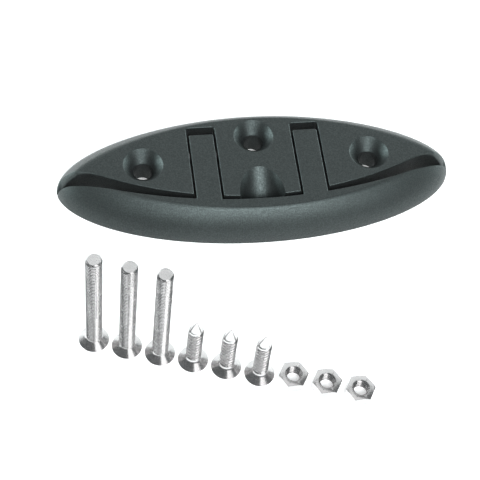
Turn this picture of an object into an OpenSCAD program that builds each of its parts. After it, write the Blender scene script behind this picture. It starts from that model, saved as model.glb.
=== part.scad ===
// Folding deck cleat, folded flat, with its loose fasteners laid out in front.
// The origin is on the deck, under the middle of the base.
// +X runs along the cleat, +Y to its hinge side, +Z up from the deck.

/* [Body] */
// Overall length of the folded cleat at the deck
cleat_len = 130; // [127:0.1:133]
// Overall width of the folded cleat at the deck
cleat_wid = 47.8; // [47:0.1:50]
// Height of the flat top above the deck
cleat_h = 11.4; // [11.2:0.1:12]
// Fullness of the outline at the deck, where 2 is an ellipse and 1 has sharp ends
deck_fullness = 1.8; // [1.5:0.05:2]
// Length of the flat top
flat_len = 117.4; // [115:0.1:119]
// Width of the flat top
flat_wid = 35.8; // [35.5:0.1:37]
// Fullness of the flat top's outline
flat_fullness = 1.22; // [1.15:0.01:1.5]
// Angle that the side's arc turns through from the deck to the flat top
side_turn = 31; // [20:1:45]

/* [Parting between base and horn] */
// Radius of the base's hollow front edge
base_edge_r = 123; // [115:1:130]
// Nearest point of the base's front edge to the middle, in Y
base_edge_y = -13.1; // [-13.3:0.1:-12.5]
// Where the base's front edge runs straight to each tip, in Y
tip_edge_y = -0.5; // [-0.7:0.1:0]
// Radius of the bend where the hollow front edge meets each tip's
tip_bend_r = 16; // [8:1:24]
// Radius of the horn's rear edge
horn_edge_r = 170; // [162:1:178]
// Middle of the horn's rear edge, in Y
horn_edge_y = -14.2; // [-14.6:0.1:-14]

/* [Legs and slots] */
// Middle of each leg, from the centre line
leg_x = 17.2; // [16.9:0.1:17.5]
// Width of each leg
leg_w = 8.1; // [7:0.1:8.4]
// Width of each slot
slot_w = 9.4; // [9.2:0.1:10]
// Rear wall of each slot, in Y
slot_rear_y = 15; // [14.9:0.1:15.4]
// Radius in the rear corners of each slot
slot_corner_r = 0.9; // [0.4:0.1:1.5]

/* [Hinge] */
// Hinge axis, in Y
hinge_y = 6.7; // [6.3:0.1:6.8]
// Height of the hinge axis above the deck
hinge_z = 5.7; // [5.6:0.1:5.9]
// Radius of each heel about the hinge axis
heel_r = 5.5; // [5.2:0.1:5.5]
// Radius of each hinge pin
pin_r = 2.5; // [2:0.1:2.6]
// Length of each hinge pin
pin_len = 18.6; // [17:0.1:19]
// Radial clearance of each pin in its leg
leg_fit = 0.08; // [0.03:0.01:0.1]
// Radial clearance of each pin in its seats in the base
seat_fit = 0.03; // [0.02:0.01:0.05]
// Width of the snap-in mouth under each pin seat
seat_mouth_w = 4.5; // [4:0.1:4.7]

/* [Screw holes] */
// Radius of each screw hole
hole_r = 3.1; // [2.8:0.05:3.4]
// Radius of each countersink at the flat top
sink_r = 6.5; // [6:0.1:6.8]
// Full angle of each countersink
sink_angle = 82; // [78:1:90]
// Distance of the two outer holes from the centre line
outer_hole_x = 37.1; // [36:0.1:38]
// The two outer holes, in Y
outer_hole_y = 1.3; // [0.5:0.1:2]
// The middle hole, in Y
mid_hole_y = 10.5; // [10:0.1:10.8]

/* [Finger scoop] */
// Radius of the scoop
scoop_r = 7.35; // [6:0.05:8]
// Slope of the scoop's floor below the flat top
scoop_slope = 40; // [35:1:42]
// Rear end of the scoop at the flat top, in Y
scoop_rear_y = -1.9; // [-2.5:0.1:-1.5]

/* [Hollows under the base] */
// Thickness of the base's outer wall and front wall
wall = 2.4; // [2.2:0.1:2.8]
// Thickness of the base's top over the hollows
top_wall = 2.8; // [2.5:0.1:3.5]
// Thickness of the ribs
rib_w = 1.8; // [1.4:0.1:2.2]
// Radius of the boss around each outer hole
boss_r = 5.8; // [5.4:0.1:6.4]

/* [Fasteners] */
// Length of each machine screw, an M5 by 45
machine_len = 45; // [30:1:60]
// Length of each tapping screw, an ST4.8 by 22
tapping_len = 22; // [16:1:32]
// Radius of the screws' flat heads
head_r = 4.65; // [4.4:0.05:5]
// Height of the rim at the edge of each head
head_rim = 0.3; // [0.2:0.05:0.5]
// Full angle of the cone under each head
head_angle = 90; // [80:1:92]
// Radius of a machine screw over its thread
thread_r = 2.5; // [2.2:0.1:2.5]
// Radius of a tapping screw over its thread
tapping_r = 2.4; // [2.2:0.1:2.5]
// Length of a tapping screw's point
point_len = 5; // [4:0.1:6]
// Width of each nut across its flats
nut_flats = 8; // [7.8:0.1:8.5]
// Thickness of each nut
nut_h = 4; // [3:0.1:4.7]
// Radius of the nut's threaded hole
nut_hole_r = 2.1; // [2:0.05:2.2]

/* [Layout of the fasteners] */
// First machine screw, in X
row_x = -57; // [-60:0.5:-40]
// First machine screw, in Y
row_y = -55; // [-60:0.5:-45]
// Distance from each fastener to the next
row_pitch = 10.3; // [9.8:0.1:13]
// Angle of the row to the cleat
row_angle = -18; // [-25:0.5:0]

/* [Hidden] */
$fn = 96;

nylon = [0.24, 0.25, 0.255];
steel = [0.76, 0.76, 0.74];

side_levels = 8;                 // rings of points up the side
outline_steps = 96;              // points in each ring
over = 1;                        // how far a cutter runs past what it cuts
long = cleat_len;                // longer than any cut needs

sink_depth = (sink_r - hole_r) / tan(sink_angle / 2);
core_h = cleat_h - top_wall;     // height of the hollows
seat_block_x = 29;               // solid around the pin seats out to here
rib_step = 9.6;                  // from the middle of a boss to each rib outside it
leg_root_y = horn_edge_y - 1;    // where a leg starts inside the horn
pin_chamfer = 0.4;
thread_chamfer = 0.6;
tip_r = 0.2;                     // blunt end of a tapping screw's point
recess_r = 2.6;                  // cross recess in a screw head
recess_w = 1;
recess_h = 1.5;
nut_r = nut_flats / 2 / cos(30); // nut across its corners, as a radius
nut_chamfer = 0.45;

// ---- the lens-shaped body ----

// An outline of half length a and half width b, anticlockwise from its right end
function outline(a, b, fullness) =
    [for (i = [0 : outline_steps - 1])
        let (t = 360 * i / outline_steps)
        [a * cos(t), b * sign(sin(t)) * pow(abs(sin(t)), 2 / fullness)]];

// Share of the way from the flat top's outline out to the deck's, at turn t
function spread(t) = 1 - (1 - cos(t)) / (1 - cos(side_turn));

function mix(top, deck, t) = top + (deck - top) * spread(t);

function side_ring(t, inset, height) =
    [for (p = outline(mix(flat_len, cleat_len, t) / 2 - inset,
                      mix(flat_wid, cleat_wid, t) / 2 - inset,
                      mix(flat_fullness, deck_fullness, t)))
        [p[0], p[1], height * sin(t) / sin(side_turn)]];

// The whole lens body, or with an inset the space inside its walls
module cleat_skin(inset = 0, height = cleat_h) {
    rings = [for (i = [0 : side_levels - 1])
        side_ring(side_turn * i / (side_levels - 1), inset, height)];
    count = len(rings[0]);
    last = (side_levels - 1) * count;
    polyhedron(
        points = [for (ring = rings) each ring],
        faces = concat(
            [[for (i = [0 : count - 1]) i]],
            [[for (i = [count - 1 : -1 : 0]) last + i]],
            [for (k = [0 : side_levels - 2], i = [0 : count - 1])
                let (a = k * count + i, b = k * count + (i + 1) % count)
                each [[a, a + count, b], [b, a + count, b + count]]]));
}

// ---- base ----

// Plan of the base's part of the lens, grown by the given amount
module base_plan(grow = 0) {
    offset(r = grow - tip_bend_r)
    offset(r = tip_bend_r) {
        translate([-long, tip_edge_y]) square([2 * long, long]);
        translate([0, base_edge_y + base_edge_r]) circle(base_edge_r, $fn = 360);
    }
}

module slot_plan() {
    square_y = slot_rear_y - slot_corner_r;  // where the rear corners' arcs begin
    translate([-slot_w / 2, -cleat_wid]) square([slot_w, cleat_wid + square_y]);
    translate([slot_corner_r - slot_w / 2, 0])
        square([slot_w - 2 * slot_corner_r, slot_rear_y]);
    for (s = [-1, 1])
        translate([s * (slot_w / 2 - slot_corner_r), square_y]) circle(slot_corner_r);
}

module screw_hole(x, y) {
    translate([x, y, -over]) cylinder(r = hole_r, h = cleat_h + 2 * over);
    translate([x, y, cleat_h - sink_depth])
        cylinder(r1 = hole_r, r2 = sink_r, h = sink_depth);
    translate([x, y, cleat_h - 0.01]) cylinder(r = sink_r, h = over);
}

module finger_scoop() {
    translate([0, scoop_rear_y, cleat_h])
        rotate([scoop_slope, 0, 0])
            translate([0, long / 4, scoop_r])
                rotate([90, 0, 0]) cylinder(r = scoop_r, h = long / 2);
}

// Both seats of one pin, open downwards so that the pin snaps in from below
module pin_seat(s) {
    translate([s * leg_x, hinge_y, hinge_z])
        rotate([0, 90, 0]) cylinder(r = pin_r + seat_fit, h = pin_len + 2 * seat_fit, center = true);
    translate([s * leg_x, hinge_y, hinge_z / 2 - over / 2])
        cube([pin_len + 2 * seat_fit, seat_mouth_w, hinge_z + over], center = true);
}

// Plan of the hollows under one wing, without the front wall, the ribs and the boss
module hollow_plan(s) {
    difference() {
        intersection() {
            base_plan(-wall);
            translate([s * (seat_block_x + long) - long, -cleat_wid])
                square([2 * long, 2 * cleat_wid]);
        }
        translate([s * outer_hole_x, outer_hole_y]) circle(boss_r);
        translate([-long, outer_hole_y - rib_w / 2]) square([2 * long, rib_w]);
        for (k = [0 : 2])
            translate([s * (outer_hole_x + k * rib_step) - rib_w / 2, -cleat_wid])
                square([rib_w, 2 * cleat_wid]);
    }
}

module hollows() {
    translate([0, 0, -0.01])
    intersection() {
        cleat_skin(wall, core_h);
        for (s = [-1, 1]) linear_extrude(core_h) hollow_plan(s);
    }
}

module base() {
    color(nylon)
    difference() {
        intersection() {
            cleat_skin();
            translate([0, 0, -over]) linear_extrude(cleat_h + 2 * over) base_plan();
        }
        for (s = [-1, 1]) {
            translate([s * leg_x, 0, -over])
                linear_extrude(cleat_h + 2 * over) slot_plan();
            screw_hole(s * outer_hole_x, outer_hole_y);
            pin_seat(s);
        }
        screw_hole(0, mid_hole_y);
        finger_scoop();
        hollows();
    }
}

// ---- horn ----

// One leg: square above the hinge at its rear end, round below it
module leg(s) {
    translate([s * leg_x, hinge_y, hinge_z])
    difference() {
        union() {
            translate([-leg_w / 2, leg_root_y - hinge_y, -heel_r])
                cube([leg_w, hinge_y - leg_root_y, heel_r + cleat_h - hinge_z]);
            translate([-leg_w / 2, 0, 0]) cube([leg_w, heel_r, cleat_h - hinge_z]);
            rotate([0, 90, 0]) cylinder(r = heel_r, h = leg_w, center = true);
        }
        rotate([0, 90, 0]) cylinder(r = pin_r + leg_fit, h = leg_w + 2 * over, center = true);
    }
}

module horn() {
    color(nylon)
    union() {
        difference() {
            cleat_skin();
            translate([0, horn_edge_y + horn_edge_r, -over])
                cylinder(r = horn_edge_r, h = cleat_h + 2 * over, $fn = 360);
        }
        for (s = [-1, 1]) leg(s);
    }
}

// ---- hinge pins ----

module hinge_pin(s) {
    color(steel)
    translate([s * leg_x - pin_len / 2, hinge_y, hinge_z])
    rotate([0, 90, 0]) {
        cylinder(r1 = pin_r - pin_chamfer, r2 = pin_r, h = pin_chamfer);
        translate([0, 0, pin_chamfer]) cylinder(r = pin_r, h = pin_len - 2 * pin_chamfer);
        translate([0, 0, pin_len - pin_chamfer])
            cylinder(r1 = pin_r, r2 = pin_r - pin_chamfer, h = pin_chamfer);
    }
}

// ---- fasteners ----

// Puts the fastener of the given number, counted from 0, at its place in the row
module in_row(number) {
    translate([row_x + number * row_pitch * cos(row_angle),
               row_y + number * row_pitch * sin(row_angle), 0]) children();
}

// Height of a flat head on a shank of the given radius
function head_h(shank_r) = (head_r - shank_r) / tan(head_angle / 2) + head_rim;

// A flat head lying on its face, with its cross recess
module screw_head(shank_r) {
    difference() {
        union() {
            cylinder(r = head_r, h = head_rim);
            translate([0, 0, head_rim])
                cylinder(r1 = head_r, r2 = shank_r, h = head_h(shank_r) - head_rim);
        }
        for (turn = [0, 90])
            rotate([0, 0, turn])
                translate([-recess_r, -recess_w / 2, -over])
                    cube([2 * recess_r, recess_w, recess_h + over]);
    }
}

module machine_screw(number) {
    color(steel)
    in_row(number) {
        screw_head(thread_r);
        translate([0, 0, head_h(thread_r)])
            cylinder(r = thread_r, h = machine_len - head_h(thread_r) - thread_chamfer);
        translate([0, 0, machine_len - thread_chamfer])
            cylinder(r1 = thread_r, r2 = thread_r - thread_chamfer, h = thread_chamfer);
    }
}

module tapping_screw(number) {
    color(steel)
    in_row(number) {
        screw_head(tapping_r);
        translate([0, 0, head_h(tapping_r)])
            cylinder(r = tapping_r, h = tapping_len - head_h(tapping_r) - point_len);
        translate([0, 0, tapping_len - point_len])
            cylinder(r1 = tapping_r, r2 = tip_r, h = point_len);
    }
}

module hex_nut(number) {
    color(steel)
    in_row(number)
    difference() {
        intersection() {
            cylinder(r = nut_r, h = nut_h, $fn = 6);
            union() {
                cylinder(r1 = nut_r - nut_chamfer, r2 = nut_r, h = nut_chamfer / 2);
                translate([0, 0, nut_chamfer / 2]) cylinder(r = nut_r, h = nut_h - nut_chamfer);
                translate([0, 0, nut_h - nut_chamfer / 2])
                    cylinder(r1 = nut_r, r2 = nut_r - nut_chamfer, h = nut_chamfer / 2);
            }
        }
        translate([0, 0, -over]) cylinder(r = nut_hole_r, h = nut_h + 2 * over);
    }
}

base();
horn();
hinge_pin(-1);  // hinge_pin_left
hinge_pin(1);  // hinge_pin_right
for (i = [1 : 3]) {
    machine_screw(i - 1);
    tapping_screw(i + 2);
    hex_nut(i + 5);
}
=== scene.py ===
"""A folding deck cleat of charcoal nylon, folded flat, with its loose stainless fasteners in front.

Shapes are modelled in millimetres in the row frame and scaled to metres as they are finished.
+X runs along the cleat, +Y to its hinge side and +Z up from the deck.
"""

import math

import bmesh
import bpy
import numpy as np
from mathutils import Matrix, Vector


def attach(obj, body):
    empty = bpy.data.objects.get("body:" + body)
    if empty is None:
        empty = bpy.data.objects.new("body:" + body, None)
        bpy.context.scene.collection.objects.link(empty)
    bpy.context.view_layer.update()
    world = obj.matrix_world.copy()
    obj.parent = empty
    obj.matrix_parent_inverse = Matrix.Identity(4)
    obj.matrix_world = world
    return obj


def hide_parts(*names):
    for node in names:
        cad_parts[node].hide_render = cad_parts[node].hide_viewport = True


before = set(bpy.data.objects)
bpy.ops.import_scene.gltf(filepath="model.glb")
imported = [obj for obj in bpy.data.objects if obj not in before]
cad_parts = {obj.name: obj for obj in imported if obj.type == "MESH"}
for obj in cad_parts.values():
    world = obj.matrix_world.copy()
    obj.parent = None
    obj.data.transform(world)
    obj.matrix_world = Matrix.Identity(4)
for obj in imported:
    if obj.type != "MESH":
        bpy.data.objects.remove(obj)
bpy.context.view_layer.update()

# Body
LENGTH = 130.0
WIDTH = 47.8
HEIGHT = 11.4
DECK_FULLNESS = 1.8
FLAT_LENGTH = 117.4
FLAT_WIDTH = 35.8
FLAT_FULLNESS = 1.22
SIDE_TURN = math.radians(31)
SIDE_LEVELS = 15
OUTLINE_STEPS = 192

# Parting between base and horn
BASE_EDGE_R = 123.0
BASE_EDGE_Y = -13.1
TIP_EDGE_Y = -0.5
TIP_BEND_R = 16.0
HORN_EDGE_R = 170.0
HORN_EDGE_Y = -14.2

# Legs, slots and hinge
LEG_X = 17.2
LEG_W = 8.1
SLOT_W = 9.4
SLOT_REAR_Y = 15.0
SLOT_CORNER_R = 0.9
HINGE_Y = 6.7
HINGE_Z = 5.7
HEEL_R = 5.5
LEG_CORNER_R = 0.4
PIN_R = 2.5
PIN_LENGTH = 18.6
PIN_ROUND = 0.4
LEG_FIT = 0.08
SEAT_FIT = 0.03
SEAT_MOUTH_W = 4.5

# Screw holes and finger scoop
HOLE_R = 3.1
SINK_R = 6.5
SINK_TURN = math.radians(41)
SINK_DEPTH = (SINK_R - HOLE_R) / math.tan(SINK_TURN)
HOLES = ((-37.1, 1.3), (0.0, 10.5), (37.1, 1.3))
SCOOP_R = 7.35
SCOOP_SLOPE = math.radians(40)
SCOOP_REAR_Y = -1.9

# Hollows under the base
WALL = 2.4
CORE_H = 8.6
RIB_W = 1.8
RIB_STEP = 9.6
BOSS_R = 5.8
SEAT_BLOCK_X = 29.0

# Moulded edges
EDGE_R = 0.42
EDGE_TURN = math.radians(76)
CREASE_R = 0.45
TIP_CREASE_R = 2.2
TIP_ROUND_X = 54.0
TIP_ROUND_RUN = 10.0
TIP_ROUND_START_R = 0.3
TIP_ROUND_R = 5.6

# Fasteners
MACHINE_LENGTH = 45.0
TAPPING_LENGTH = 22.0
HEAD_R = 4.65
HEAD_RIM = 0.3
HEAD_SOFT = 0.12
MACHINE_R = 2.5
MACHINE_ROOT_R = 2.02
MACHINE_PITCH = 0.8
MACHINE_RIDGE = 1.0
MACHINE_RINGS = 427
MACHINE_CHAMFER = 0.6
TAPPING_R = 2.4
TAPPING_ROOT_R = 1.72
TAPPING_PITCH = 1.6
TAPPING_RIDGE = 0.62
TAPPING_RINGS = 200
POINT_LENGTH = 5.0
POINT_R = 0.2
NUT_FLATS = 8.0
NUT_H = 4.0
NUT_THREAD_R = 2.1
NUT_THREAD_DEPTH = 0.38
ROW_START = (-57.0, -55.0)
ROW_PITCH = 10.3
ROW_ANGLE = math.radians(-18)

# How far a cutter runs past what it cuts, and two distances from the middle that clear the body
OVER = 1.0
ACROSS = 30.0
FAR = 90.0
MERGE_DISTANCE = 0.02


# ---- mesh helpers ----

def mesh_object(name, points, faces):
    mesh = bpy.data.meshes.new(name)
    mesh.from_pydata([tuple(p) for p in points], [], faces)
    mesh.validate()
    obj = bpy.data.objects.new(name, mesh)
    bpy.context.scene.collection.objects.link(obj)
    return obj


def tube_faces(rings, count):
    """Faces of a closed skin over rings of points, each with count points, capped at both ends."""
    sides = [(k * count + i, k * count + (i + 1) % count,
              (k + 1) * count + (i + 1) % count, (k + 1) * count + i)
             for k in range(rings - 1) for i in range(count)]
    last = (rings - 1) * count
    return [tuple(range(count - 1, -1, -1)), *sides, tuple(range(last, last + count))]


def arc(x, y, r, start, end, steps):
    return [(x + r * math.cos(start + (end - start) * i / steps),
             y + r * math.sin(start + (end - start) * i / steps)) for i in range(steps)]


def prism(shape, low, high):
    """An upright prism over an anticlockwise shape."""
    points = [(x, y, z) for z in (low, high) for x, y in shape]
    return mesh_object("prism", points, tube_faces(2, len(shape)))


def edge_profile():
    """(setback, height) pairs up a wall whose top edge at HEIGHT is rounded, and on above it."""
    turns = np.linspace(0, EDGE_TURN, 6)
    pairs = [(EDGE_R * (1 - math.cos(t)),
              HEIGHT - 0.01 - EDGE_R * (math.sin(EDGE_TURN) - math.sin(t))) for t in turns]
    setback, height = pairs[-1]
    return [(0.0, -OVER), *pairs, (setback + OVER / 2, height + OVER / 2 / math.tan(EDGE_TURN)),
            (setback + OVER / 2, HEIGHT + OVER)]


def rounded_prism(shape_at):
    """An upright prism over shape_at(setback), following the rounding of the top edge."""
    levels = [(shape_at(setback), z) for setback, z in edge_profile()]
    points = [(x, y, z) for shape, z in levels for x, y in shape]
    return mesh_object("prism", points, tube_faces(len(levels), len(levels[0][0])))


def lathe(profile, count=96, name="lathe"):
    """A solid turned about Z from (radius, height) pairs, going up."""
    points = [(r * math.cos(2 * math.pi * i / count), r * math.sin(2 * math.pi * i / count), z)
              for r, z in profile for i in range(count)]
    return mesh_object(name, points, tube_faces(len(profile), count))


def block(x0, x1, y0, y1, z0, z1):
    return prism([(x0, y0), (x1, y0), (x1, y1), (x0, y1)], z0, z1)


def place(obj, matrix):
    obj.data.transform(matrix)
    return obj


def apply_modifiers(obj):
    bpy.context.view_layer.update()
    graph = bpy.context.evaluated_depsgraph_get()
    mesh = bpy.data.meshes.new_from_object(obj.evaluated_get(graph))
    old = obj.data
    obj.modifiers.clear()
    obj.data = mesh
    bpy.data.meshes.remove(old)


def combine(obj, tool, operation):
    modifier = obj.modifiers.new("boolean", "BOOLEAN")
    modifier.operation = operation
    modifier.solver = "EXACT"
    modifier.object = tool
    apply_modifiers(obj)
    mesh = tool.data
    bpy.data.objects.remove(tool)
    bpy.data.meshes.remove(mesh)


def cut(obj, *tools):
    for tool in tools:
        combine(obj, tool, "DIFFERENCE")


def merge_close(obj):
    """Merges points that lie closer together than MERGE_DISTANCE."""
    mesh = bmesh.new()
    mesh.from_mesh(obj.data)
    bmesh.ops.remove_doubles(mesh, verts=mesh.verts, dist=MERGE_DISTANCE)
    mesh.to_mesh(obj.data)
    mesh.free()


def split_faces(obj):
    """Splits every face of more than four corners into triangles."""
    mesh = bmesh.new()
    mesh.from_mesh(obj.data)
    bmesh.ops.triangulate(mesh, faces=[face for face in mesh.faces if len(face.verts) > 4])
    mesh.to_mesh(obj.data)
    mesh.free()


def finish_piece(obj, name, body, nodes, materials, smooth=30):
    """Scales a modelled piece to metres, shades it and puts it on its body in place of CAD nodes."""
    split_faces(obj)
    obj.name = name
    obj.data.name = name
    obj.data.transform(Matrix.Scale(0.001, 4))
    obj.data.materials.clear()
    for material in materials:
        obj.data.materials.append(material)
    obj.data.shade_smooth()
    obj.data.set_sharp_from_angle(angle=math.radians(smooth))
    weighted = obj.modifiers.new("normals", "WEIGHTED_NORMAL")
    weighted.keep_sharp = True
    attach(obj, body)
    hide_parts(*nodes)
    return obj


# ---- the lens-shaped body ----

def outline(a, b, fullness):
    """An outline of half length a and half width b, anticlockwise from its right end."""
    turns = [2 * math.pi * i / OUTLINE_STEPS for i in range(OUTLINE_STEPS)]
    return [(a * math.cos(t), math.copysign(b * abs(math.sin(t)) ** (2 / fullness), math.sin(t)))
            for t in turns]


def outline_size(turn, inset=0.0):
    """Half length, half width and fullness of the body where its side has turned by turn."""
    share = 1 - (1 - math.cos(turn)) / (1 - math.cos(SIDE_TURN))
    return (FLAT_LENGTH / 2 + (LENGTH - FLAT_LENGTH) / 2 * share - inset,
            FLAT_WIDTH / 2 + (WIDTH - FLAT_WIDTH) / 2 * share - inset,
            FLAT_FULLNESS + (DECK_FULLNESS - FLAT_FULLNESS) * share)


def body_skin(inset=0.0, height=HEIGHT):
    """The whole lens body with its top edge rounded, or the space inset into it."""
    rings = []
    for k in range(SIDE_LEVELS):
        turn = SIDE_TURN * k / (SIDE_LEVELS - 1)
        z = height * math.sin(turn) / math.sin(SIDE_TURN)
        rings.append(np.array([(x, y, z) for x, y in outline(*outline_size(turn, inset))]))
    corner = rings.pop()
    sharp, soft = (np.array(outline(*outline_size(SIDE_TURN, inset + r)))
                   for r in (CREASE_R, TIP_CREASE_R))
    share = np.cos(np.linspace(0, 2 * math.pi, OUTLINE_STEPS, endpoint=False))[:, None] ** 4
    flat = np.column_stack([sharp + (soft - sharp) * share, np.full(OUTLINE_STEPS, height)])
    for u in np.linspace(0, 1, 7)[1:]:
        rings.append((1 - u) ** 2 * rings[SIDE_LEVELS - 2] + 2 * u * (1 - u) * corner
                     + u ** 2 * flat)
    return mesh_object("skin", np.concatenate(rings), tube_faces(len(rings), len(flat)))


def on_side(point):
    """True for a point on the body's rounded side."""
    turn = math.asin(min(1.0, max(0.0, point.z / HEIGHT)) * math.sin(SIDE_TURN))
    a, b, fullness = outline_size(turn)
    across = b * max(0.0, 1 - (point.x / a) ** 2) ** (1 / fullness)
    along = a * math.sqrt(max(0.0, 1 - min(1.0, abs(point.y) / b) ** fullness))
    return min(abs(abs(point.y) - across), abs(abs(point.x) - along)) < 0.15


# ---- base ----

def base_bend(bend_r, edge_r, tip_y):
    """Middle of the bend between the base's hollow front edge and its right tip's straight one."""
    y = tip_y - bend_r
    return math.sqrt((edge_r + bend_r) ** 2 - (BASE_EDGE_Y + BASE_EDGE_R - y) ** 2), y


def base_plan(grow=0.0):
    """Plan of the base's part of the lens, with a bend where its front edge meets each tip's."""
    edge_r, tip_y, bend_r = BASE_EDGE_R + grow, TIP_EDGE_Y - grow, TIP_BEND_R - grow
    centre_y = BASE_EDGE_Y + BASE_EDGE_R
    bend_x, bend_y = base_bend(bend_r, edge_r, tip_y)
    lean = math.atan2(centre_y - bend_y, bend_x)
    steps = 14
    right = arc(bend_x, bend_y, bend_r, math.pi - lean, math.pi / 2, steps)
    front = arc(0, centre_y, edge_r, math.pi + lean, 2 * math.pi - lean, 120)
    left = [(-x, y) for x, y in reversed([*right, (bend_x, tip_y)])]
    return [*left, *front[1:], *right, (bend_x, tip_y), (FAR, tip_y), (FAR, FAR), (-FAR, FAR),
            (-FAR, tip_y)]


def slot_shape(side, grow):
    middle, half, r = side * LEG_X, SLOT_W / 2 + grow, SLOT_CORNER_R + grow
    rear = SLOT_REAR_Y - SLOT_CORNER_R
    return [(middle - half, -40.0), (middle + half, -40.0),
            *arc(middle + half - r, rear, r, 0, math.pi / 2, 8),
            (middle + half - r, rear + r),
            *arc(middle - half + r, rear, r, math.pi / 2, math.pi, 8),
            (middle - half, rear)]


def hole_cutter(x, y):
    """A screw hole and its countersink, with a rounded rim."""
    wall = math.atan2(SINK_R - HOLE_R, SINK_DEPTH)
    turns = np.linspace(wall, EDGE_TURN, 5)
    drop = EDGE_R * (math.sin(EDGE_TURN) - math.sin(wall)) + 0.01
    rim = [(SINK_R - drop * math.tan(wall) + EDGE_R * (math.cos(wall) - math.cos(t)),
            HEIGHT - drop + EDGE_R * (math.sin(t) - math.sin(wall))) for t in turns]
    floor_z = HEIGHT - SINK_DEPTH
    wide, high = rim[-1]
    profile = [(HOLE_R, -OVER), (HOLE_R, floor_z - 0.12), (HOLE_R + 0.05, floor_z),
               (HOLE_R + 0.15, floor_z + 0.12), *rim,
               (wide + OVER / 2, high + OVER / 2 / math.tan(EDGE_TURN)),
               (wide + OVER / 2, HEIGHT + OVER)]
    return place(lathe(profile, 120), Matrix.Translation((x, y, 0)))


def scoop_cutter():
    tool = lathe([(SCOOP_R, -40.0), (SCOOP_R, 40.0)], 144)
    axis = Matrix.Rotation(SCOOP_SLOPE, 4, "X") @ Matrix.Translation((0, 0, SCOOP_R)) \
        @ Matrix.Rotation(math.pi / 2, 4, "X")
    return place(tool, Matrix.Translation((0, SCOOP_REAR_Y, HEIGHT)) @ axis)


def seat_cutters(side):
    """The seat of one pin, and its snap-in mouth under it."""
    half = PIN_LENGTH / 2 + SEAT_FIT
    bore = place(lathe([(PIN_R + SEAT_FIT, -half), (PIN_R + SEAT_FIT, half)], 64),
                 Matrix.Translation((side * LEG_X, HINGE_Y, HINGE_Z))
                 @ Matrix.Rotation(math.pi / 2, 4, "Y"))
    mouth = block(side * LEG_X - half, side * LEG_X + half, HINGE_Y - SEAT_MOUTH_W / 2,
                  HINGE_Y + SEAT_MOUTH_W / 2, -OVER, HINGE_Z)
    return bore, mouth


def hollow_cutter(side):
    """The space under one wing, less its ribs and the boss round its screw hole."""
    hollow = body_skin(WALL, CORE_H)
    place(hollow, Matrix.Translation((0, 0, -0.01)))
    combine(hollow, prism(base_plan(-WALL), -OVER, CORE_H + OVER), "INTERSECT")
    inner, outer = sorted((side * SEAT_BLOCK_X, side * FAR))
    combine(hollow, block(inner, outer, -ACROSS, ACROSS, -OVER, CORE_H + OVER), "INTERSECT")
    x, y = HOLES[1 + side]
    boss = lathe([(BOSS_R, -OVER), (BOSS_R, CORE_H + OVER)], 72)
    cut(hollow, place(boss, Matrix.Translation((x, y, 0))))
    for k in range(3):
        rib_x = x + side * k * RIB_STEP
        cut(hollow, block(rib_x - RIB_W / 2, rib_x + RIB_W / 2, -ACROSS, ACROSS,
                          -OVER, CORE_H + OVER))
    cut(hollow, block(-FAR, FAR, y - RIB_W / 2, y + RIB_W / 2, -OVER, CORE_H + OVER))
    return hollow


def tip_cutter(side):
    """Rounds the top of the base's front wall at one tip, more and more towards its point."""
    bend_x, bend_y = base_bend(TIP_BEND_R, BASE_EDGE_R, TIP_EDGE_Y)
    sections = []
    for x in np.linspace(TIP_ROUND_X, LENGTH / 2 + 0.5, 36):
        beyond = min(0.99, max(0.0, (2 * x - FLAT_LENGTH) / (LENGTH - FLAT_LENGTH)))
        turn = math.acos(1 - (1 - beyond) * (1 - math.cos(SIDE_TURN)))
        top = HEIGHT * math.sin(turn) / math.sin(SIDE_TURN) + 0.02
        front = bend_y + math.sqrt(TIP_BEND_R ** 2 - min(0.0, x - bend_x) ** 2) - 0.02
        grown = min(1.0, (x - TIP_ROUND_X) / TIP_ROUND_RUN) ** 1.5
        r = min(0.9 * top, TIP_ROUND_START_R + (TIP_ROUND_R - TIP_ROUND_START_R) * grown)
        section = [*arc(front + r, top - r, r, math.pi, math.pi / 2, 10), (front + r, top),
                   (front + r, top + OVER), (front - OVER, top + OVER), (front - OVER, top - r)]
        sections.append([(side * x, y, z) for y, z in section])
    points = [point for section in sections[::side] for point in section]
    return mesh_object("tip", points, tube_faces(len(sections), len(sections[0])))


# Finish slots. The edge slot's material is a painted highlight, and the plain slot's material is partly
# painted shade.
FINE, SPARKED, PLAIN_SHADED, EDGE_HIGHLIGHT = range(4)


def set_finishes(obj):
    """Fine texture on the flat top, spark-eroded on side, countersinks and scoop, plain elsewhere. The
    rounded top edges get a lighter, glossier material as a painted highlight, and the plain material's
    darker, duller look is painted shade on walls and undersides.
    """
    for face in obj.data.polygons:
        c, n = face.center, face.normal
        near_hole = any(math.hypot(c.x - x, c.y - y) < SINK_R for x, y in HOLES)
        along = (c.y - SCOOP_REAR_Y) * math.sin(SCOOP_SLOPE) - (c.z - HEIGHT) * math.cos(SCOOP_SLOPE)
        in_scoop = math.hypot(c.x, SCOOP_R + along) < SCOOP_R + 0.1 and c.y < SCOOP_REAR_Y + 0.5
        # Near the tips the front wall also takes the sparked material, which keeps the plain material's
        # painted shade off it.
        beyond = abs(c.x) - TIP_ROUND_X
        at_tip = beyond > 1 and n.z > 0.05 or beyond > 6 and c.y < 0 and n.z > -0.05
        if n.z > 0.999 and c.z > HEIGHT - 0.05:
            face.material_index = FINE
        elif in_scoop and n.z > 0.05 or at_tip or on_side(c) and c.z > 0.01:
            face.material_index = SPARKED
        # Rounded top edges: a lighter, glossier material, which is a painted highlight.
        elif n.z > 0.1 and c.z > HEIGHT - EDGE_R:
            face.material_index = EDGE_HIGHLIGHT
        elif n.z > 0.3 and near_hole:
            face.material_index = SPARKED
        # Walls, undersides and hollows: the plain material, darkened as painted shade.
        else:
            face.material_index = PLAIN_SHADED


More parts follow.
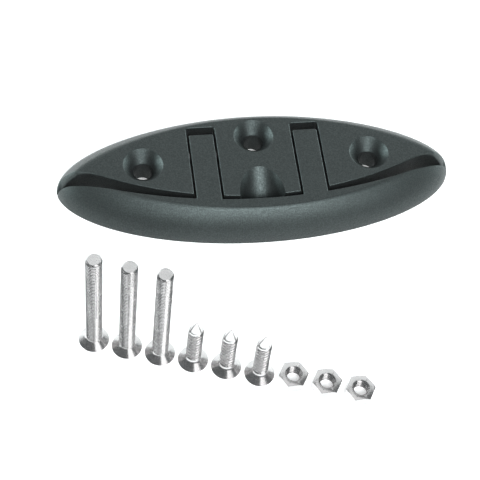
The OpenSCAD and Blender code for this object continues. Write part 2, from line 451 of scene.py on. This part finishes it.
def make_base():
    base = body_skin()
    combine(base, rounded_prism(lambda setback: base_plan(-setback)), "INTERSECT")
    for side in (-1, 1):
        cut(base, rounded_prism(lambda setback: slot_shape(side, setback)), tip_cutter(side))
    cut(base, *[hole_cutter(x, y) for x, y in HOLES], scoop_cutter())
    for side in (-1, 1):
        cut(base, hollow_cutter(side), *seat_cutters(side))
    return base


# ---- horn ----

def leg_shape(side, setback):
    left, right = (side * LEG_X + k * (LEG_W / 2 - setback) for k in (-1, 1))
    root, rear, r = HORN_EDGE_Y - 1, HINGE_Y + HEEL_R - setback, LEG_CORNER_R
    return [(left, root), (right, root), *arc(right - r, rear - r, r, 0, math.pi / 2, 6),
            (right - r, rear), *arc(left + r, rear - r, r, math.pi / 2, math.pi, 6),
            (left, rear - r)]


def leg(side):
    """One leg: square above the hinge at its rear end, round below it."""
    piece = rounded_prism(lambda setback: leg_shape(side, setback))
    heel = arc(HINGE_Y, HINGE_Z, HEEL_R, -math.pi / 2, 0, 24)
    front = HORN_EDGE_Y - 2
    profile = [(front, HINGE_Z - HEEL_R), *heel, (HINGE_Y + HEEL_R, HINGE_Z),
               (HINGE_Y + HEEL_R, HEIGHT), (front, HEIGHT)]
    across = prism(profile, side * LEG_X - LEG_W, side * LEG_X + LEG_W)
    turned = Matrix(((0, 0, 1, 0), (1, 0, 0, 0), (0, 1, 0, 0), (0, 0, 0, 1)))
    combine(piece, place(across, turned), "INTERSECT")
    return piece


def make_horn():
    horn = body_skin()
    disc = lathe([(HORN_EDGE_R + setback, z) for setback, z in edge_profile()], 680)
    cut(horn, place(disc, Matrix.Translation((0, HORN_EDGE_Y + HORN_EDGE_R, 0))))
    for side in (-1, 1):
        combine(horn, leg(side), "UNION")
    for side in (-1, 1):
        half = LEG_W / 2 + OVER
        bore = lathe([(PIN_R + LEG_FIT, -half), (PIN_R + LEG_FIT, half)], 64)
        cut(horn, place(bore, Matrix.Translation((side * LEG_X, HINGE_Y, HINGE_Z))
                        @ Matrix.Rotation(math.pi / 2, 4, "Y")))
    merge_close(horn)
    return horn


# ---- pins and fasteners ----

def make_pin(side):
    half = PIN_LENGTH / 2
    turn = [math.radians(a) for a in range(0, 91, 15)]
    foot = [(PIN_R - PIN_ROUND + PIN_ROUND * math.sin(t), PIN_ROUND * (1 - math.cos(t)) - half)
            for t in turn]
    profile = foot + [(r, -z) for r, z in reversed(foot)]
    pin = lathe(profile, 64)
    return place(pin, Matrix.Translation((side * LEG_X, HINGE_Y, HINGE_Z))
                 @ Matrix.Rotation(math.pi / 2, 4, "Y"))


def head_height(shank_r):
    return HEAD_R - shank_r + HEAD_RIM


def screw_rings(length, radius, root, pitch, ridge, steps, envelope):
    """Points of a screw that stands on its flat head, how many rings they make and how many
    points a ring has. ridge is the share of the pitch that the thread's ridge takes up, and
    envelope(z) is the largest radius at height z."""
    neck = head_height(radius)
    soft = HEAD_SOFT
    head = [(HEAD_R - soft, 0.0), (HEAD_R, soft), (HEAD_R, HEAD_RIM),
            (HEAD_R - soft / 2, HEAD_RIM + soft / 2)]
    slope = [(HEAD_R - d, HEAD_RIM + d) for d in np.linspace(HEAD_RIM, HEAD_R - radius, 6)]
    shank = np.linspace(neck, length, steps)[1:]
    angles = np.linspace(0, 2 * math.pi, 32, endpoint=False)
    points = [(r * math.cos(t), r * math.sin(t), z) for r, z in head + slope for t in angles]
    for z in shank:
        phase = (z / pitch - angles / (2 * math.pi)) % 1
        crest = np.clip(1 - np.abs(2 * phase - 1) / ridge, 0, 1)
        grow = min(1.0, max(0.0, (z - neck) / pitch))
        full = radius if grow < 0.5 else radius - (radius - root) * 0.04
        wall = root + (full - root) * np.clip(crest * 1.6 - 0.2, 0, 1)
        r = radius - (radius - wall) * grow
        r = np.minimum(r, envelope(z))
        points += [(q * math.cos(t), q * math.sin(t), z) for q, t in zip(r, angles)]
    return points, len(head) + len(slope) + len(shank), len(angles)


def recess_cutter(turn):
    """One bar of the cross recess, tapering as it goes in."""
    rings = [(2.6, 0.52, -0.2), (2.55, 0.5, 0.0), (1.1, 0.36, 1.45)]
    corners = ((-1, -1), (1, -1), (1, 1), (-1, 1))
    points = [(sx * a, sy * b, z) for a, b, z in rings for sx, sy in corners]
    arm = mesh_object("arm", points, tube_faces(len(rings), 4))
    return place(arm, Matrix.Rotation(turn, 4, "Z"))


def make_screw(length, radius, root, pitch, ridge, steps, envelope):
    points, rings, count = screw_rings(length, radius, root, pitch, ridge, steps, envelope)
    screw = mesh_object("screw", points, tube_faces(rings, count))
    cut(screw, recess_cutter(0), recess_cutter(math.pi / 2))
    return screw


def machine_envelope(z):
    return MACHINE_R - max(0.0, z - (MACHINE_LENGTH - MACHINE_CHAMFER))


def tapping_envelope(z):
    left = max(0.0, TAPPING_LENGTH - z)
    return min(TAPPING_R, POINT_R + (TAPPING_R - POINT_R) * left / POINT_LENGTH)


def make_nut():
    corner = NUT_FLATS / 2 / math.cos(math.pi / 6)
    nut = prism([(corner * math.cos(math.radians(60 * i)), corner * math.sin(math.radians(60 * i)))
                 for i in range(6)], 0, NUT_H)
    face = NUT_FLATS / 2 * 0.95
    rise = (corner + 0.2 - face) * math.tan(math.radians(30))
    chamfer = lathe([(face, 0), (corner + 0.2, rise), (corner + 0.2, NUT_H - rise),
                     (face, NUT_H)], 96)
    combine(nut, place(chamfer, Matrix.Rotation(math.pi / 96, 4, "Z")), "INTERSECT")
    mouth = MACHINE_R + 0.15
    low = lathe([(mouth + OVER, -OVER), (2.0, mouth - 2.0)], 64)
    high = lathe([(2.0, NUT_H - mouth + 2.0), (mouth + OVER, NUT_H + OVER)], 64)
    angles = np.linspace(0, 2 * math.pi, 40, endpoint=False)
    heights = np.linspace(-OVER, NUT_H + OVER, 61)
    points = []
    for z in heights:
        phase = (z / MACHINE_PITCH - angles / (2 * math.pi)) % 1
        r = NUT_THREAD_R + NUT_THREAD_DEPTH * np.clip(1.2 - np.abs(2 * phase - 1) * 1.4, 0, 1)
        points += [(q * math.cos(t), q * math.sin(t), z) for q, t in zip(r, angles)]
    tap = mesh_object("tap", points, tube_faces(len(heights), len(angles)))
    cut(nut, tap, low, high)
    return nut


# ---- materials ----

# Sockets of a Mix node that mixes colours
MIX_FACTOR, MIX_FIRST, MIX_SECOND, MIX_RESULT = 0, 6, 7, 2


def material(name):
    made = bpy.data.materials.new(name)
    made.use_nodes = True
    nodes = made.node_tree.nodes
    shader = nodes["Principled BSDF"]
    return made, nodes, made.node_tree.links.new, shader


def add_node(nodes, kind, **values):
    node = nodes.new(kind)
    for key, value in values.items():
        socket = key.replace("_", " ")
        if socket in node.inputs:
            node.inputs[socket].default_value = value
        else:
            setattr(node, key, value)
    return node


def ramp(nodes, stops):
    """A colour ramp between two stops, each a position and a grey or a colour."""
    node = nodes.new("ShaderNodeValToRGB")
    for element, (position, value) in zip(node.color_ramp.elements, stops):
        element.position = position
        element.color = (*value, 1) if isinstance(value, tuple) else (value, value, value, 1)
    return node


def nylon(name, tint, roughness, grain, depth, sparkle, facets, shine=0.5):
    """Moulded charcoal nylon. grain is the size of its texture and depth how deep that is, in mm;
    sparkle is how much its glints vary, and facets how far its tiny flat spots lean."""
    made, nodes, link, shader = material(name)
    shader.inputs["Specular Tint"].default_value = (0.84, 1.0, 0.99, 1)
    where = nodes.new("ShaderNodeTexCoord")
    shader.inputs["IOR"].default_value = 1.52

    cloud = add_node(nodes, "ShaderNodeTexNoise", Scale=90.0, Detail=4.0, Roughness=0.55)
    link(where.outputs["Object"], cloud.inputs["Vector"])
    grains = add_node(nodes, "ShaderNodeTexNoise", Scale=1000.0 / grain, Detail=1.0, Roughness=0.4)
    link(where.outputs["Object"], grains.inputs["Vector"])
    pits = add_node(nodes, "ShaderNodeTexVoronoi", Scale=1500.0 / grain)
    link(where.outputs["Object"], pits.inputs["Vector"])

    shade = ramp(nodes, [(0.3, tuple(c * 0.85 for c in tint)), (0.7, tuple(c * 1.15 for c in tint))])
    link(cloud.outputs["Fac"], shade.inputs["Fac"])
    fleck = ramp(nodes, [(0.42, 1.0 - sparkle), (0.62, 1.0)])
    link(grains.outputs["Fac"], fleck.inputs["Fac"])
    mix = add_node(nodes, "ShaderNodeMix", data_type="RGBA", blend_type="MULTIPLY")
    mix.inputs[MIX_FACTOR].default_value = 1.0
    link(shade.outputs["Color"], mix.inputs[MIX_FIRST])
    link(fleck.outputs["Color"], mix.inputs[MIX_SECOND])
    link(mix.outputs[MIX_RESULT], shader.inputs["Base Color"])

    rough = add_node(nodes, "ShaderNodeMapRange")
    rough.inputs["From Min"].default_value = 0.3
    rough.inputs["From Max"].default_value = 0.7
    rough.inputs["To Min"].default_value = roughness + 0.06
    rough.inputs["To Max"].default_value = roughness - 0.06
    link(grains.outputs["Fac"], rough.inputs["Value"])
    link(rough.outputs["Result"], shader.inputs["Roughness"])

    glint = add_node(nodes, "ShaderNodeMapRange")
    glint.inputs["From Min"].default_value = 0.36
    glint.inputs["From Max"].default_value = 0.68
    glint.inputs["To Min"].default_value = shine * (1 - sparkle)
    glint.inputs["To Max"].default_value = shine * (1 + 1.6 * sparkle)
    link(grains.outputs["Fac"], glint.inputs["Value"])
    link(glint.outputs["Result"], shader.inputs["Specular IOR Level"])

    height = add_node(nodes, "ShaderNodeMath", operation="MULTIPLY_ADD")
    height.inputs[1].default_value = -0.5
    link(pits.outputs["Distance"], height.inputs[0])
    link(grains.outputs["Fac"], height.inputs[2])
    bump = add_node(nodes, "ShaderNodeBump", Strength=1.0, Distance=depth / 1000.0)
    link(height.outputs["Value"], bump.inputs["Height"])
    lean = add_node(nodes, "ShaderNodeVectorMath", operation="SUBTRACT")
    lean.inputs[1].default_value = (0.5, 0.5, 0.5)
    link(pits.outputs["Color"], lean.inputs[0])
    tilt = add_node(nodes, "ShaderNodeVectorMath", operation="MULTIPLY_ADD")
    tilt.inputs[1].default_value = (facets, facets, facets)
    link(lean.outputs["Vector"], tilt.inputs[0])
    link(bump.outputs["Normal"], tilt.inputs[2])
    unit = add_node(nodes, "ShaderNodeVectorMath", operation="NORMALIZE")
    link(tilt.outputs["Vector"], unit.inputs[0])
    link(unit.outputs["Vector"], shader.inputs["Normal"])
    return made


def steel(name, tint, roughness, streak):
    """Stainless steel with faint turning marks round Z, streak being their depth in mm."""
    made, nodes, link, shader = material(name)
    where = nodes.new("ShaderNodeTexCoord")
    shader.inputs["Metallic"].default_value = 1.0

    cloud = add_node(nodes, "ShaderNodeTexNoise", Scale=350.0, Detail=4.0, Roughness=0.6)
    link(where.outputs["Object"], cloud.inputs["Vector"])
    stretch = add_node(nodes, "ShaderNodeMapping")
    stretch.inputs["Scale"].default_value = (600.0, 600.0, 9000.0)
    link(where.outputs["Object"], stretch.inputs["Vector"])
    marks = add_node(nodes, "ShaderNodeTexNoise", Scale=1.0, Detail=2.0, Roughness=0.5)
    link(stretch.outputs["Vector"], marks.inputs["Vector"])

    shade = ramp(nodes, [(0.3, tuple(c * 0.84 for c in tint)), (0.7, tint)])
    link(cloud.outputs["Fac"], shade.inputs["Fac"])
    link(shade.outputs["Color"], shader.inputs["Base Color"])
    rough = add_node(nodes, "ShaderNodeMapRange")
    rough.inputs["To Min"].default_value = roughness - 0.1
    rough.inputs["To Max"].default_value = roughness + 0.1
    link(cloud.outputs["Fac"], rough.inputs["Value"])
    link(rough.outputs["Result"], shader.inputs["Roughness"])
    bump = add_node(nodes, "ShaderNodeBump", Strength=1.0, Distance=streak / 1000.0)
    link(marks.outputs["Fac"], bump.inputs["Height"])
    link(bump.outputs["Normal"], shader.inputs["Normal"])
    return made


# ---- the object ----

nylons = [nylon("nylon_fine", (0.010, 0.011, 0.011), 0.46, 0.40, 0.035, 0.12, 0.06),
          nylon("nylon_sparked", (0.009, 0.011, 0.011), 0.29, 0.70, 0.28, 0.85, 0.50),
          # A plain moulded finish. Its darker tint and low specular level are painted shade on walls,
          # slots and hollows.
          nylon("nylon_plain_shaded", (0.004, 0.006, 0.006), 0.45, 0.60, 0.02, 0.2, 0.05, 0.22),
          # Lighter tint and higher specular level: a painted highlight along the rounded top edges.
          nylon("nylon_edge_highlight", (0.018, 0.021, 0.021), 0.30, 0.50, 0.05, 0.4, 0.10, 0.8)]
bright_steel = steel("fastener_steel", (0.64, 0.63, 0.63), 0.25, 0.0006)
ground_steel = steel("pin_steel", (0.28, 0.28, 0.28), 0.34, 0.0006)
mouldings = []

for make, name, body in ((make_base, "base", "base_body"), (make_horn, "horn", "horn_body")):
    part = make()
    set_finishes(part)
    mouldings.append(finish_piece(part, name + "_moulding", body, [name], nylons))

for side, word in ((-1, "left"), (1, "right")):
    finish_piece(make_pin(side), "hinge_pin_" + word + "_ground", "base_body",
                 ["hinge_pin_" + word], [ground_steel])

row_step = Vector((math.cos(ROW_ANGLE), math.sin(ROW_ANGLE), 0)) * ROW_PITCH
row_first = Vector((*ROW_START, 0))
kinds = (
    ("machine_screw", lambda: make_screw(MACHINE_LENGTH, MACHINE_R, MACHINE_ROOT_R, MACHINE_PITCH,
                                         MACHINE_RIDGE, MACHINE_RINGS, machine_envelope)),
    ("tapping_screw", lambda: make_screw(TAPPING_LENGTH, TAPPING_R, TAPPING_ROOT_R, TAPPING_PITCH,
                                         TAPPING_RIDGE, TAPPING_RINGS, tapping_envelope)),
    ("hex_nut", make_nut),
)
for group, (kind, make) in enumerate(kinds):
    master = make()
    for i in range(3):
        piece = master if i == 2 else mesh_object("copy", [], [])
        if piece is not master:
            piece.data = master.data.copy()
        spin = Matrix.Rotation(math.radians(17 * i) if kind != "hex_nut" else 0, 4, "Z")
        place(piece, Matrix.Translation(row_first + (3 * group + i) * row_step) @ spin)
        node = f"{kind}_{i + 1}"
        finish_piece(piece, node + "_threaded", "base_body", [node],
                     [bright_steel], 40)


# ---- floor, light and camera ----

def make_floor():
    floor = mesh_object("floor", [(-15, -15, 0), (15, -15, 0), (15, 15, 0), (-15, 15, 0)], [(0, 1, 2, 3)])
    made, nodes, link, shader = material("floor_white")
    shader.inputs["Base Color"].default_value = (0.9, 0.9, 0.9, 1)
    shader.inputs["Roughness"].default_value = 0.9
    shader.inputs["Specular IOR Level"].default_value = 0.1
    shader.inputs["Emission Color"].default_value = (1, 1, 1, 1)
    shader.inputs["Emission Strength"].default_value = 0.3
    floor.data.materials.append(made)
    return floor


def soft_light(name, azimuth, elevation, distance, width, height, power, colour):
    """A softbox aimed at the cleat. Azimuth 0 is in front of it and 90 to its right."""
    a, e = math.radians(azimuth), math.radians(elevation)
    away = Vector((math.sin(a) * math.cos(e), -math.cos(a) * math.cos(e), math.sin(e)))
    data = bpy.data.lights.new(name, "AREA")
    data.shape = "RECTANGLE"
    data.size, data.size_y = width, height
    data.energy = power
    data.color = colour
    obj = bpy.data.objects.new(name, data)
    obj.location = away * distance
    obj.rotation_mode = "QUATERNION"
    obj.rotation_quaternion = away.to_track_quat("Z", "Y")
    obj.visible_camera = False
    bpy.context.scene.collection.objects.link(obj)
    return obj


def light_group(light, objects):
    """Keeps a light to the given objects; the loose fasteners were photographed apart."""
    group = bpy.data.collections.new(light.name + "_group")
    for obj in objects:
        group.objects.link(obj)
    light.light_linking.receiver_collection = group


def make_camera():
    """The photograph's view: from the front, a little to the left, 56 degrees above the deck."""
    azimuth, elevation, roll = (math.radians(a) for a in (-14.15, 56.305, 8.234))
    back = Vector((math.sin(azimuth) * math.cos(elevation),
                   -math.cos(azimuth) * math.cos(elevation), math.sin(elevation)))
    right = Vector((0, 0, 1)).cross(back).normalized()
    up = back.cross(right)
    turned = (right * math.cos(roll) + up * math.sin(roll), up * math.cos(roll) - right * math.sin(roll))
    data = bpy.data.cameras.new("camera")
    data.lens, data.sensor_width = 112.7, 36
    camera = bpy.data.objects.new("camera", data)
    axes = Matrix((turned[0], turned[1], back)).transposed().to_4x4()
    target = Vector((-0.00958, -0.02962, 0.0112))
    camera.matrix_world = Matrix.Translation(target + back * 0.4695) @ axes
    bpy.context.scene.collection.objects.link(camera)
    bpy.context.scene.camera = camera


floor = make_floor()
make_camera()
front = soft_light("front_box", 6, 45, 0.9, 0.62, 0.35, 9.8, (0.94, 0.99, 1.0))
left = soft_light("left_box", -112, 9, 1.2, 1.1, 0.34, 18.0, (0.86, 1.0, 1.0))
right = soft_light("right_box", 112, 9, 1.2, 1.1, 0.34, 12.5, (0.86, 1.0, 1.0))
soft_light("rear_box", 175, 34, 1.3, 3.0, 1.6, 16.5, (0.97, 1.0, 1.0))
soft_light("top_box", -60, 78, 1.4, 1.2, 1.2, 4.5, (1.0, 1.0, 1.0))
soft_light("steel_box", 20, 38, 0.8, 0.45, 0.45, 1.6, (1.0, 1.0, 1.0))
for light in (front, left, right):
    light_group(light, [floor, *mouldings])

world = bpy.data.worlds.new("studio")
world.use_nodes = True
world.node_tree.nodes["Background"].inputs["Color"].default_value = (0.93, 0.98, 1.0, 1)
world.node_tree.nodes["Background"].inputs["Strength"].default_value = 0.16
bpy.context.scene.world = world
bpy.context.scene.view_settings.view_transform = "Standard"
